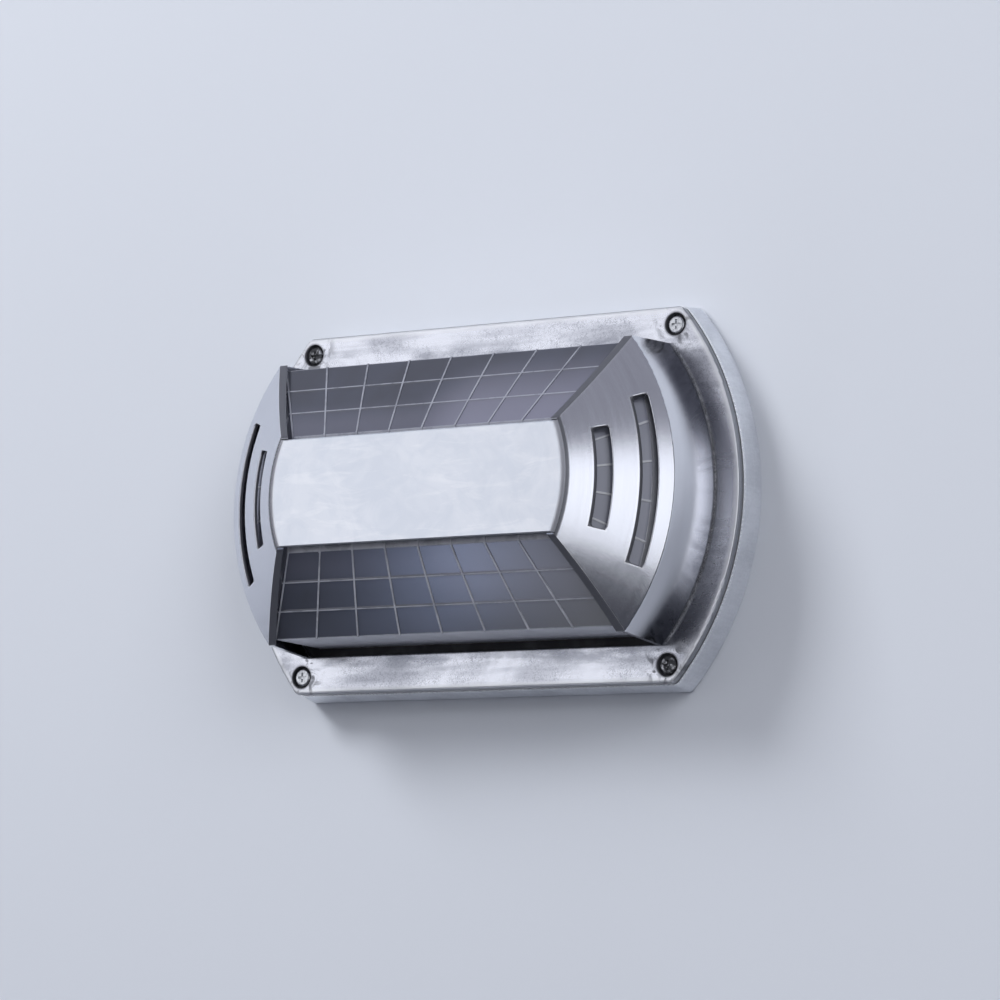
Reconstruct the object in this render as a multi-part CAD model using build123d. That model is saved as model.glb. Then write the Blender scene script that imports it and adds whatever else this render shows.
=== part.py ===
from build123d import *
import os
from math import acos, atan2, cos, degrees, hypot, radians, sin, sqrt

# Outline of the light, seen square on
HALF_HEIGHT = 83.0
END_R = 128.5
CORNER_R = 4.5

# Depths out from the wall
FLOOR_T = 3.2
BOX_DEPTH = 13.7
SEAL_T = 0.8
FLANGE_T = 3.0
RIDGE_RISE = 32.0
BAR_RISE = 59.0

# Back box
WALL = 3.0
BOX_FLARE = 2.4
RIM_GROW = 0.2
REAR_R = 1.6
GASKET_SET_IN = 0.5
PAD_RISE = 3.0
PAD_WALL = 2.6

# Cover hood: end walls, sloping caps and flat bar
HOOD_WALL = 1.8
CAP_CENTRE = 12.0
END_LEDGE = 11.7
SIDE_LEDGE = 17.0
DRAFT = 2.4
BAR_HALF = 24.1
BAR_REACH = 75.3
BAR_END_R = 6.0
SOFT_R = 1.0
FLANGE_EDGE_R = 1.4

# Slots in the caps
SLOT_W = 6.0
SLOT_CORNER_R = 1.8
OUTER_SLOT_IN = 9.2
OUTER_SLOT_SPREAD = 20.3
INNER_SLOT_IN = 25.2
INNER_SLOT_SPREAD = 14.1

# Glass lens
LENS_T = 3.5
LENS_SIDE_GAP = 4.5
LENS_EAVE_DROP = 0.5
LENS_TOP_DROP = 5.0
LENS_TOP_MARGIN = 1.9
LENS_CENTRE = 33.0
LENS_END_GAP = 11.8
LENS_TOP_END_GAP = 4.0
LENS_RIM_T = 3.0
LENS_RIM_LAP = 2.6
LENS_SEAL_T = 1.5
RIB_W = 0.9
RIB_RISE = 0.3
SIDE_COLUMNS = 8
END_COLUMNS = 7
ROWS = 3

# Cover screws
SCREW_INSET_SIDE = 8.0
SCREW_INSET_END = 7.3
SCREW_R = 2.0
SCREW_HEAD_R = 4.0
SCREW_HEAD_H = 2.0
SCREW_GRIP = 6.1
COUNTERBORE_R = 5.15
COUNTERBORE_WEB = 0.4
BOSS_R = 6.5
BOSS_H = 3.5

# Lens clips and small screws
CLIP_X = 45.0
CLIP_T = 1.2
CLIP_W = 10.0
CLIP_BOSS_R = 4.5
CLIP_LAP = 1.9
SMALL_SCREW_R = 1.5
SMALL_HEAD_R = 2.8
SMALL_HEAD_H = 1.5

# Lamp
GLOBE_R = 22.5
GLOBE_T = 1.0
GLOBE_X = -1.5
CAP_R = 13.1
CAP_ROOT = 0.9
CAP_PITCH = 3.6
CAP_TURNS = 5
CAP_START_X = 28.0
INSULATOR_H = 3.6
CONTACT_H = 1.4
CONTACT_R = 4.6

# Lamp holder and its bracket
HOLDER_R = 19.5
HOLDER_EDGE = 2.0
HOLDER_MOUTH_X = 26.0
HOLDER_LENGTH = 49.0
HOLDER_DEPTH = 31.0
HOLDER_SCREW_STEP = 11.7
HOLDER_SCREW_REACH = 10.0
SHELL_T = 0.7
SHELL_SET_IN = 3.9
TONGUE_HALF = 3.3
TONGUE_FOOT = 9.2
BRACKET_T = 1.5
BRACKET_HALF = 16.0
FOOT_SCREW_BACK = 22.0
FOOT_SCREW_Y = 11.2
FOOT_MARGIN = 8.0

# Terminal block, earth tag and leads
BLOCK_X = -66.0
BLOCK_HALF_X = 12.0
BLOCK_HALF_Y = 16.0
BLOCK_H = 13.0
POLE_PITCH = 10.0
CLAMP_STEP = 6.0
WELL_R = 2.4
TUBE_R = 2.6
TUBE_BORE_R = 1.7
EARTH_X = -29.0
TAG_R = 4.0
TAG_REACH = 9.0
BARREL_LENGTH = 6.0
LEAD_R = 1.1
LEAD_BEND = 5.0
LEAD_OUT = 8.0
LEAD_IN = 3.6
LEAD_PORT_BACK = 8.0

# Wall fixing and cable entry
FIX_INSET = 28.5
FIX_R = 2.75
ENTRY_INSET = 42.5
ENTRY_Y = 36.0
ENTRY_R = 8.0
CABLE_R = 4.0
GROMMET_LIP = 2.2
GROMMET_WALL = 1.5
GROMMET_NOSE = 4.0

# Clearances
MOVING_GAP = 0.3
SEAT_GAP = 0.1

# Levels and places that follow from the sizes above
COVER_BACK = BOX_DEPTH + SEAL_T
FACE = COVER_BACK + FLANGE_T
RIDGE = FACE + RIDGE_RISE
BAR_FACE = FACE + BAR_RISE
BAR_BACK = BAR_FACE - HOOD_WALL
HOOD_R = END_R - CAP_CENTRE - END_LEDGE
OPENING_HALF = HALF_HEIGHT - SIDE_LEDGE
OPENING_R = HOOD_R - HOOD_WALL
BAR_R = BAR_REACH - CAP_CENTRE
POST_TOP = COVER_BACK - BOSS_H
HEAD_SEAT = COVER_BACK + COUNTERBORE_WEB
SCREW_Y = HALF_HEIGHT - SCREW_INSET_SIDE
SCREW_X = sqrt((END_R - SCREW_INSET_END) ** 2 - SCREW_Y ** 2)
LENS_HALF = OPENING_HALF - LENS_SIDE_GAP
LENS_R = CAP_CENTRE + OPENING_R - LENS_END_GAP + LENS_CENTRE
LENS_EAVE = RIDGE - LENS_EAVE_DROP
LENS_TOP = BAR_FACE - LENS_TOP_DROP
LENS_TOP_HALF = BAR_HALF + LENS_TOP_MARGIN
LENS_TOP_R = BAR_REACH - LENS_TOP_END_GAP + LENS_CENTRE
RIM_TOP = COVER_BACK - LENS_SEAL_T
RIM_LOW = RIM_TOP - LENS_RIM_T
LAMP_H = (FLOOR_T + LENS_TOP - LENS_T) / 2
HOLDER_BACK_X = HOLDER_MOUTH_X + HOLDER_LENGTH
HOLDER_FLOOR_X = HOLDER_MOUTH_X + HOLDER_DEPTH
CAP_END_X = CAP_START_X + CAP_PITCH * CAP_TURNS
CAP_ROOT_R = CAP_R - CAP_ROOT
CONTACT_X = CAP_END_X + INSULATOR_H
LAMP_END_X = CONTACT_X + CONTACT_H
PAD_TOP = FLOOR_T + PAD_RISE
POLE_H = FLOOR_T + BLOCK_H / 2
POLES = (-POLE_PITCH, 0, POLE_PITCH)
BARREL_H = PAD_TOP + SHELL_T + LEAD_R + SHELL_T
LEAD_END_X = BLOCK_X + BLOCK_HALF_X - LEAD_IN
FIX_X = END_R - FIX_INSET
ENTRY_X = ENTRY_INSET - END_R

LOW = (Align.CENTER, Align.CENTER, Align.MIN)
UPRIGHT = Rot(90, 0, 0)


def along_x(points, reach=2 * END_R):
    """Prism along X on an outline of (height, depth) points."""
    return extrude(Plane.YZ * make_face(Polyline(*points, close=True)), reach, both=True)


def turned(points, centre, soft=()):
    """Full turn of a (radius, depth) outline about an axis out of the wall, some corners eased."""
    outline = make_face(Polyline(*[(centre + r, h) for r, h in points], close=True))
    for (r, h), ease in soft:
        outline = fillet(outline.vertices().sort_by_distance((centre + r, h))[0], ease)
    return revolve(Plane.XZ * outline, Axis((centre, 0, 0), (0, 0, 1)))


def spun(points):
    """Full turn of an (x, radius) outline about the lamp's own axis."""
    outline = make_face(Polyline(*[(x, LAMP_H + r) for x, r in points], close=True))
    return revolve(Plane.XZ * outline, Axis((0, 0, LAMP_H), (1, 0, 0)))


def at_corners(x, y):
    """Four places, mirrored left to right and top to bottom."""
    return [Pos(i * x, j * y) for i in (-1, 1) for j in (-1, 1)]


def disc(radius, low, high):
    """Round bar out of the wall between two depths."""
    return Pos(0, 0, low) * Cylinder(radius, high - low, align=LOW)


def outline_block(low, high, grow_low=0.0, grow_high=0.0):
    """The light's outline between two depths, grown by a margin at each."""
    side_low = HALF_HEIGHT + grow_low
    side_high = HALF_HEIGHT + grow_high
    round_ends = turned([(0, low), (END_R + grow_low, low), (END_R + grow_high, high), (0, high)], 0)
    sides = along_x([(-side_low, low), (side_low, low), (side_high, high), (-side_high, high)])
    block = round_ends & sides
    upright = [e for e in block.edges() if low < e.center().Z < high]
    return fillet([e for e in upright if abs(e.center().Y) > HALF_HEIGHT / 2], CORNER_R)


def flare(depth):
    """How far the back box stands out past the cover's outline at a depth."""
    return BOX_FLARE + (RIM_GROW - BOX_FLARE) * depth / BOX_DEPTH


def opening_block(radius, half, low, high):
    """The hood's footprint between two depths: round ends cut by straight sides."""
    ends = Pos(CAP_CENTRE) * disc(radius, low, high) + Pos(-CAP_CENTRE) * disc(radius, low, high)
    return ends & Pos(0, 0, low) * Box(4 * END_R, 2 * half, high - low, align=LOW)


def pan_screw(thread_r, reach, head_r, head_h):
    """Cross-head screw, seat of the head at the origin, thread towards the wall."""
    crown = 0.45 * head_h
    head = fillet(disc(head_r, 0, head_h).edges().sort_by(Axis.Z)[-1], crown)
    arm = Pos(0, 0, crown) * Box(1.1 * head_r, 0.26 * head_r, head_h, align=LOW)
    head -= [arm, Rot(0, 0, 90) * arm]
    shank = disc(thread_r, -reach, 0)
    return head + chamfer(shank.edges().sort_by(Axis.Z)[0], 0.4 * thread_r)


def back_box():
    """Shallow cast tray with flared sides, screw posts and floor pads."""
    tray = outline_block(0, BOX_DEPTH, flare(0), flare(BOX_DEPTH))
    tray = fillet(tray.edges().group_by(Axis.Z)[0], REAR_R)
    tray -= outline_block(FLOOR_T, BOX_DEPTH, flare(FLOOR_T) - WALL, flare(BOX_DEPTH) - WALL)
    within = outline_block(0, BOX_DEPTH, flare(0) - WALL / 2, flare(BOX_DEPTH) - WALL / 2)
    for place in at_corners(SCREW_X, SCREW_Y):
        tray += place * disc(BOSS_R, FLOOR_T / 2, POST_TOP) & within
    for place in at_corners(SCREW_X, SCREW_Y):
        tray -= place * disc(SCREW_R + MOVING_GAP, FLOOR_T, POST_TOP)
    for place in (Pos(-FIX_X), Pos(FIX_X)):
        tray += place * disc(FIX_R + PAD_WALL, FLOOR_T / 2, PAD_TOP)
        tray -= place * disc(FIX_R, 0, PAD_TOP)
    for place in foot_places() + [Pos(EARTH_X)]:
        tray += place * disc(SCREW_R + PAD_WALL, FLOOR_T / 2, PAD_TOP)
        tray -= place * disc(SCREW_R + SEAT_GAP, FLOOR_T / 2, PAD_TOP)
    for place in block_places():
        tray -= place * disc(SMALL_SCREW_R + SEAT_GAP, FLOOR_T / 3, FLOOR_T)
    entry = Pos(ENTRY_X, ENTRY_Y)
    tray -= entry * disc(ENTRY_R, 0, FLOOR_T)
    tray -= entry * disc(ENTRY_R + GROMMET_LIP + MOVING_GAP, 0, FLOOR_T / 2)
    return tray


def foot_places():
    """Floor pads that carry the lamp holder's bracket."""
    x = HOLDER_BACK_X - FOOT_SCREW_BACK
    return [Pos(x, -FOOT_SCREW_Y), Pos(x, FOOT_SCREW_Y)]


def block_places():
    """Fixing screws of the terminal block, between its poles."""
    return [Pos(BLOCK_X, -POLE_PITCH / 2), Pos(BLOCK_X, POLE_PITCH / 2)]


def box_gasket():
    """Flat ring on the rim of the box."""
    ring = outline_block(BOX_DEPTH, COVER_BACK, -GASKET_SET_IN, -GASKET_SET_IN)
    return ring - outline_block(BOX_DEPTH, COVER_BACK, RIM_GROW - WALL, RIM_GROW - WALL)


def cap_profile(wall, low):
    """(radius, depth) outline of an end wall and its cap, set in by a wall thickness."""
    slope = (BAR_RISE - RIDGE_RISE) / (HOOD_R - DRAFT - BAR_R)
    lean = DRAFT / RIDGE_RISE
    drop = wall * hypot(1, slope)
    ridge = RIDGE + (slope * wall - drop) / (1 - slope * lean)
    ridge_r = HOOD_R - wall - lean * (ridge - FACE)
    top_r = BAR_R - drop / slope
    points = [(0, low), (HOOD_R - wall, low), (HOOD_R - wall, FACE)]
    return points + [(ridge_r, ridge), (top_r, BAR_FACE), (0, BAR_FACE)]


def both_caps(wall, low):
    """The two end walls and caps as solid drums, one on each side of the middle."""
    points = cap_profile(wall, low)
    soft = [] if wall else zip(points[3:5], (SOFT_R, BAR_END_R))
    left = turned(points, -CAP_CENTRE, soft)
    return left + mirror(left, about=Plane.YZ)


def bar_edges(side):
    """What breaking one long edge of the bar takes away, upper or lower side."""
    broken = SOFT_R / 2
    corner = [(BAR_HALF - 2 * broken, BAR_FACE + broken), (BAR_HALF + broken, BAR_FACE + broken)]
    corner += [(BAR_HALF + broken, BAR_FACE - 2 * broken)]
    return along_x([(side * y, h) for y, h in corner])


def hood():
    """End walls, sloping caps and bar, cut off in the planes of the glass slopes."""
    side = OPENING_HALF + SOFT_R / 2
    half = [(side, COVER_BACK), (side, FACE), (side - DRAFT, RIDGE), (BAR_HALF, BAR_FACE)]
    slopes = along_x(half + [(-y, h) for y, h in reversed(half)])
    bar = Pos(0, 0, BAR_BACK) * Box(4 * END_R, 2 * BAR_HALF, BAR_RISE, align=LOW)
    room = both_caps(HOOD_WALL, COVER_BACK) - bar
    shell = (both_caps(0, COVER_BACK) & slopes) - room
    return shell - bar_edges(1) - bar_edges(-1)


def cap_slot(radius, spread):
    """Curved slot through a cap, struck from the middle of the light."""
    reach = 2 * radius
    y = reach * sin(radians(spread))
    x = reach * cos(radians(spread))
    wedge = make_face(Polyline((0, 0), (x, -y), (x, y), close=True))
    slot = (Circle(radius + SLOT_W / 2) - Circle(radius - SLOT_W / 2)) & wedge
    slot = fillet(slot.vertices(), SLOT_CORNER_R)
    return extrude(Pos(0, 0, FACE + RIDGE_RISE / 2) * slot, BAR_RISE)


def slot_lips(cover):
    """Outer edges of the slots: the holes in the cap faces that look away from the wall."""
    caps = [f for f in cover.faces().filter_by(GeomType.CONE) if f.inner_wires()]
    outer = [f for f in caps if f.normal_at().Z > 0]
    return [e for f in outer for w in f.inner_wires() for e in w.edges()]


def hood_foot(cover):
    """Curved edges where the end walls meet the flange."""
    arcs = cover.edges().filter_by(GeomType.CIRCLE)
    level = [e for e in arcs if abs(e.position_at(0.5).Z - FACE) < SEAT_GAP]
    return [e for e in level if abs(e.radius - HOOD_R) < SEAT_GAP]


def front_cover():
    """Cover casting: flange, hood, slots, counterbores and bosses behind."""
    flange = outline_block(COVER_BACK, FACE)
    flange = fillet(flange.edges().group_by(Axis.Z)[-1], FLANGE_EDGE_R)
    flange -= opening_block(OPENING_R, OPENING_HALF, COVER_BACK, FACE)
    edges = [e for e in flange.edges().filter_by(Axis.X) if e.center().Z > FACE - SOFT_R / 2]
    flange = fillet([e for e in edges if abs(e.center().Y) < OPENING_HALF + SOFT_R], SOFT_R / 2)
    cover = flange + hood()
    ridge = CAP_CENTRE + HOOD_R - DRAFT
    for slot in (cap_slot(ridge - OUTER_SLOT_IN, OUTER_SLOT_SPREAD),
                 cap_slot(ridge - INNER_SLOT_IN, INNER_SLOT_SPREAD)):
        cover -= slot
        cover -= mirror(slot, about=Plane.YZ)
    cover = fillet(slot_lips(cover), SOFT_R / 2)
    cover = fillet(hood_foot(cover), SOFT_R)
    clear = outline_block(POST_TOP, COVER_BACK, -WALL - 2 * MOVING_GAP, -WALL - 2 * MOVING_GAP)
    for place in at_corners(SCREW_X, SCREW_Y):
        cover += place * disc(BOSS_R, POST_TOP, COVER_BACK) & clear
    for place in at_corners(SCREW_X, SCREW_Y):
        cover -= place * disc(COUNTERBORE_R, HEAD_SEAT, FACE)
        cover -= place * disc(SCREW_R + MOVING_GAP, POST_TOP, HEAD_SEAT)
    for place in at_corners(CLIP_X, SCREW_Y):
        cover += place * disc(CLIP_BOSS_R, RIM_LOW, COVER_BACK)
        cover -= place * disc(SMALL_SCREW_R + SEAT_GAP, RIM_LOW, COVER_BACK)
    return cover


def roof(half, top_half, low, inset):
    """Skirt, slope and top of the lens on one side, set in by a thickness."""
    slope = (LENS_TOP - LENS_EAVE) / (half - top_half)
    eave = LENS_EAVE - inset * (hypot(1, slope) - slope)
    top = LENS_TOP - inset
    return [(half - inset, low), (half - inset, eave), (half - inset - (top - eave) / slope, top)]


def vault(low, inset):
    """The lens as a solid: straight sides crossed with two flat-curved ends."""
    side = roof(LENS_HALF, LENS_TOP_HALF, low, inset)
    end = roof(LENS_R, LENS_TOP_R, low, inset)
    end = [(0, low)] + end + [(0, end[-1][1])]
    body = along_x(side + [(-y, h) for y, h in reversed(side)])
    return body & turned(end, -LENS_CENTRE) & turned(end, LENS_CENTRE)


def rib_wall(start, finish):
    """Upright wall over a straight line in plan, one rib wide."""
    run = hypot(finish[0] - start[0], finish[1] - start[1])
    turn = degrees(atan2(finish[1] - start[1], finish[0] - start[0]))
    middle = Pos((start[0] + finish[0]) / 2, (start[1] + finish[1]) / 2, LENS_EAVE)
    return middle * Rot(0, 0, turn) * Box(run + RIB_W, RIB_W, LENS_TOP, align=LOW)


def side_ribs():
    """Walls for the columns of the two straight slopes and the top."""
    corner = sqrt(LENS_R ** 2 - LENS_HALF ** 2) - LENS_CENTRE
    top_corner = sqrt(LENS_TOP_R ** 2 - LENS_TOP_HALF ** 2) - LENS_CENTRE
    walls = []
    for k in range(SIDE_COLUMNS + 1):
        share = 2 * k / SIDE_COLUMNS - 1
        x = share * corner
        top_x = share * top_corner
        walls.append(rib_wall((x, LENS_HALF + RIB_W), (top_x, LENS_TOP_HALF)))
        walls.append(rib_wall((x, -LENS_HALF - RIB_W), (top_x, -LENS_TOP_HALF)))
        walls.append(rib_wall((top_x, -LENS_TOP_HALF), (top_x, LENS_TOP_HALF)))
    return walls


def end_ribs():
    """Walls for the columns of the two curved slopes."""
    walls = []
    for k in range(1, END_COLUMNS):
        share = 2 * k / END_COLUMNS - 1
        y = share * LENS_HALF
        top_y = share * LENS_TOP_HALF
        x = sqrt(LENS_R ** 2 - y ** 2) - LENS_CENTRE
        top_x = sqrt(LENS_TOP_R ** 2 - top_y ** 2) - LENS_CENTRE
        walls.append(rib_wall((x + RIB_W, y), (top_x, top_y)))
        walls.append(rib_wall((-x - RIB_W, y), (-top_x, top_y)))
    return walls


def row_ribs():
    """Level slices for the rows that run all the way round."""
    rise = RIB_W * (LENS_TOP - LENS_EAVE) / hypot(LENS_TOP - LENS_EAVE, LENS_HALF - LENS_TOP_HALF)
    slab = Box(4 * LENS_R, 4 * LENS_HALF, rise)
    step = (LENS_TOP - LENS_EAVE) / ROWS
    return [Pos(0, 0, LENS_EAVE + k * step) * slab for k in range(1, ROWS)]


def glass_lens():
    """Pressed glass lens: ribbed slopes, plain skirt and a rear rim."""
    outer = vault(RIM_LOW, 0)
    ribs = vault(LENS_EAVE - RIB_W, -RIB_RISE) & Part() + side_ribs() + end_ribs() + row_ribs()
    rim = opening_block(OPENING_R + LENS_RIM_LAP, OPENING_HALF + LENS_RIM_LAP, RIM_LOW, RIM_TOP)
    return outer + ribs + rim - vault(RIM_LOW, LENS_T)


def glass_gasket():
    """Soft ring between the lens rim and the back of the flange."""
    ring = opening_block(OPENING_R + LENS_RIM_LAP, OPENING_HALF + LENS_RIM_LAP, RIM_TOP, COVER_BACK)
    return ring - vault(RIM_TOP, -MOVING_GAP)


def glass_clips():
    """Four flat tabs that hold the rim up to the flange."""
    tip = OPENING_HALF + LENS_RIM_LAP - CLIP_LAP
    heel = SCREW_Y + CLIP_BOSS_R
    tab = Pos(0, 0, RIM_LOW - CLIP_T) * Box(CLIP_W, heel - tip, CLIP_T, align=LOW)
    hole = disc(SMALL_SCREW_R + SEAT_GAP, RIM_LOW - CLIP_T, RIM_LOW)
    holes = [place * hole for place in at_corners(CLIP_X, SCREW_Y)]
    return [place * tab - holes for place in at_corners(CLIP_X, (tip + heel) / 2)]


def clip_screws():
    """Screws of the lens clips, heads towards the wall."""
    reach = CLIP_T + COVER_BACK - RIM_LOW - 2 * SEAT_GAP
    screw = Rot(180, 0, 0) * pan_screw(SMALL_SCREW_R, reach, SMALL_HEAD_R, SMALL_HEAD_H)
    return [place * Pos(0, 0, RIM_LOW - CLIP_T) * screw for place in at_corners(CLIP_X, SCREW_Y)]


def cover_screw(i, j):
    """One cover screw in its counterbore, reaching down into the post."""
    reach = HEAD_SEAT - POST_TOP + SCREW_GRIP
    screw = pan_screw(SCREW_R, reach, SCREW_HEAD_R, SCREW_HEAD_H)
    return Pos(i * SCREW_X, j * SCREW_Y, HEAD_SEAT) * screw


def cable_grommet():
    """Rubber bush in the floor, with a hole for the supply cable."""
    lip = ENTRY_R + GROMMET_LIP
    edge = GROMMET_LIP / 4
    web = FLOOR_T / 2
    neck = ENTRY_R - SEAT_GAP
    inner = FLOOR_T + GROMMET_LIP
    nose = inner + GROMMET_NOSE
    points = [(CABLE_R, SEAT_GAP), (lip, SEAT_GAP), (lip, web), (neck, web), (neck, FLOOR_T)]
    points += [(lip, FLOOR_T), (lip, inner - edge), (lip - edge, inner), (neck, inner)]
    points += [(CABLE_R + GROMMET_WALL, nose), (CABLE_R, nose)]
    return Pos(ENTRY_X, ENTRY_Y) * turned(points, 0)


def holder_bracket():
    """Folded steel bracket: foot on the floor pads, upright behind the holder."""
    toe = HOLDER_BACK_X - FOOT_SCREW_BACK - FOOT_MARGIN
    heel = HOLDER_BACK_X + BRACKET_T
    top = LAMP_H + BRACKET_HALF
    deck = PAD_TOP + BRACKET_T
    points = [(toe, PAD_TOP), (heel, PAD_TOP), (heel, top)]
    points += [(HOLDER_BACK_X, top), (HOLDER_BACK_X, deck), (toe, deck)]
    plate = extrude(Plane.XZ * make_face(Polyline(*points, close=True)), BRACKET_HALF, both=True)
    for corner, radius in (((heel, 0, PAD_TOP), 2 * BRACKET_T), ((HOLDER_BACK_X, 0, deck), BRACKET_T)):
        plate = fillet(plate.edges().filter_by(Axis.Y).sort_by_distance(corner)[0], radius)
    plate -= [place * disc(SCREW_R + SEAT_GAP, PAD_TOP, deck) for place in foot_places()]
    plate -= [place * disc(SCREW_R + SEAT_GAP, -BRACKET_T, 0) for place in holder_places()]
    return plate


def holder_places():
    """Seats of the two holder screws, on the back of the bracket."""
    x = HOLDER_BACK_X + BRACKET_T
    levels = (LAMP_H - HOLDER_SCREW_STEP, LAMP_H + HOLDER_SCREW_STEP)
    return [Pos(x, 0, level) * Rot(0, 90, 0) for level in levels]


def bracket_screws():
    """Screws that hold the bracket's foot to the floor pads."""
    reach = BRACKET_T + PAD_RISE
    screw = pan_screw(SCREW_R, reach, SCREW_HEAD_R, SCREW_HEAD_H)
    return [place * Pos(0, 0, PAD_TOP + BRACKET_T) * screw for place in foot_places()]


def holder_screws():
    """Screws through the bracket into the back of the holder."""
    screw = pan_screw(SCREW_R, HOLDER_SCREW_REACH, SCREW_HEAD_R, SCREW_HEAD_H)
    return [place * screw for place in holder_places()]


def holder_body():
    """Glazed porcelain lamp holder with a deep mouth and two lead ports."""
    bore = CAP_R + MOVING_GAP + SHELL_T + 2 * SEAT_GAP
    rim = HOLDER_R - HOLDER_EDGE
    points = [(HOLDER_MOUTH_X, bore), (HOLDER_MOUTH_X, rim), (HOLDER_MOUTH_X + HOLDER_EDGE, HOLDER_R)]
    points += [(HOLDER_BACK_X - HOLDER_EDGE, HOLDER_R), (HOLDER_BACK_X, rim), (HOLDER_BACK_X, 0)]
    points += [(HOLDER_FLOOR_X, 0), (HOLDER_FLOOR_X, bore)]
    body = spun(points)
    hole = disc(SCREW_R + SEAT_GAP, -HOLDER_SCREW_REACH - SEAT_GAP, 0)
    body -= [place * hole for place in holder_places()]
    for side in (-1, 1):
        port = Pos(HOLDER_BACK_X - LEAD_PORT_BACK, side * (HOLDER_R - 2 * LEAD_R), LAMP_H)
        body -= port * Rot(90, 0, 0) * Cylinder(LEAD_R + SEAT_GAP, 4 * LEAD_R)
    return body


def holder_shell():
    """Brass screw shell that takes the lamp cap."""
    inner = CAP_R + MOVING_GAP + SEAT_GAP
    outer = inner + SHELL_T
    start = HOLDER_MOUTH_X + SHELL_SET_IN
    return spun([(start, inner), (start, outer), (HOLDER_FLOOR_X, outer), (HOLDER_FLOOR_X, inner)])


def holder_contact():
    """Sprung centre tongue at the bottom of the holder."""
    tip = LAMP_END_X + MOVING_GAP + SEAT_GAP
    bed = HOLDER_FLOOR_X - SHELL_T
    points = [(HOLDER_FLOOR_X, -TONGUE_FOOT), (HOLDER_FLOOR_X, -TONGUE_HALF)]
    points += [(tip + SHELL_T, TONGUE_HALF), (tip, TONGUE_HALF)]
    points += [(bed, -TONGUE_HALF - SHELL_T), (bed, -TONGUE_FOOT)]
    outline = make_face(Polyline(*[(x, LAMP_H + h) for x, h in points], close=True))
    return extrude(Plane.XZ * outline, TONGUE_HALF, both=True)


def globe_profile(inset):
    """Half outline of the lamp's globe and its tapering neck."""
    radius = GLOBE_R - inset
    neck = CAP_ROOT_R - inset
    reach = CAP_START_X - GLOBE_X
    lift = atan2(neck, reach) + acos(radius / hypot(reach, neck))
    touch = (GLOBE_X + radius * cos(lift), LAMP_H + radius * sin(lift))
    crown = (GLOBE_X - radius * cos(lift / 2), LAMP_H + radius * sin(lift / 2))
    start = (GLOBE_X - radius, LAMP_H)
    arc = ThreePointArc(start, crown, touch)
    rest = Polyline(touch, (CAP_START_X, LAMP_H + neck), (CAP_START_X, LAMP_H), start)
    return make_face([arc, rest])


def lamp_globe():
    """Hollow glass globe."""
    skin = globe_profile(0) - globe_profile(GLOBE_T)
    return revolve(Plane.XZ * skin, Axis((0, 0, LAMP_H), (1, 0, 0)))


def lamp_cap():
    """Screw cap of the lamp, its thread as plain rings."""
    lining = CAP_ROOT_R - GLOBE_T
    points = [(CAP_START_X, lining), (CAP_START_X, CAP_ROOT_R)]
    for k in range(CAP_TURNS):
        x = CAP_START_X + k * CAP_PITCH
        points += [(x + 0.3 * CAP_PITCH, CAP_R), (x + 0.6 * CAP_PITCH, CAP_R)]
        points += [(x + 0.9 * CAP_PITCH, CAP_ROOT_R)]
    return spun(points + [(CAP_END_X, CAP_ROOT_R), (CAP_END_X, lining)])


def lamp_insulator():
    """Black insulator between the cap and the centre contact."""
    return spun([(CAP_END_X, 0), (CAP_END_X, CAP_ROOT_R), (CONTACT_X, CAP_ROOT_R / 2), (CONTACT_X, 0)])


def lamp_contact():
    """Round centre contact of the lamp."""
    edge = CONTACT_H / 2
    points = [(CONTACT_X, 0), (CONTACT_X, CONTACT_R), (LAMP_END_X - edge, CONTACT_R)]
    return spun(points + [(LAMP_END_X, CONTACT_R - edge), (LAMP_END_X, 0)])


def clamp_places():
    """Two clamp screws over each pole."""
    return [Pos(BLOCK_X + step, y) for y in POLES for step in (-CLAMP_STEP, CLAMP_STEP)]


def pole_bar(radius, y, half):
    """Round bar along a pole of the terminal block."""
    return Pos(BLOCK_X, y, POLE_H) * Rot(0, 90, 0) * Cylinder(radius, 2 * half)


def terminal_block():
    """Moulded block with a tube and two screw wells for each pole."""
    top = FLOOR_T + BLOCK_H
    block = Pos(BLOCK_X, 0, FLOOR_T) * Box(2 * BLOCK_HALF_X, 2 * BLOCK_HALF_Y, BLOCK_H, align=LOW)
    block = fillet(block.edges().filter_by(Axis.Z), 2 * SOFT_R)
    block -= [pole_bar(TUBE_R + SEAT_GAP, y, BLOCK_HALF_X) for y in POLES]
    block -= [place * disc(WELL_R, POLE_H, top) for place in clamp_places()]
    block -= [place * disc(SMALL_SCREW_R + SEAT_GAP, FLOOR_T, top) for place in block_places()]
    return block


def terminal_tubes():
    """Brass tubes inside the block."""
    tubes = []
    holes = [place * disc(SMALL_SCREW_R, POLE_H, POLE_H + 2 * TUBE_R) for place in clamp_places()]
    for y in POLES:
        tube = pole_bar(TUBE_R, y, BLOCK_HALF_X - SOFT_R) - pole_bar(TUBE_BORE_R, y, BLOCK_HALF_X)
        tubes.append(tube - holes)
    return tubes


def terminal_screws():
    """Clamp screws of the terminal block."""
    seat = POLE_H + TUBE_R + SEAT_GAP
    reach = TUBE_R - LEAD_R
    screw = pan_screw(SMALL_SCREW_R - SEAT_GAP, reach, WELL_R - MOVING_GAP, SMALL_HEAD_H)
    return [place * Pos(0, 0, seat) * screw for place in clamp_places()]


def block_screws():
    """Screws that hold the terminal block to the floor."""
    reach = BLOCK_H + FLOOR_T / 2
    screw = pan_screw(SMALL_SCREW_R, reach, SMALL_HEAD_R, SMALL_HEAD_H)
    return [place * Pos(0, 0, FLOOR_T + BLOCK_H) * screw for place in block_places()]


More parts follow.
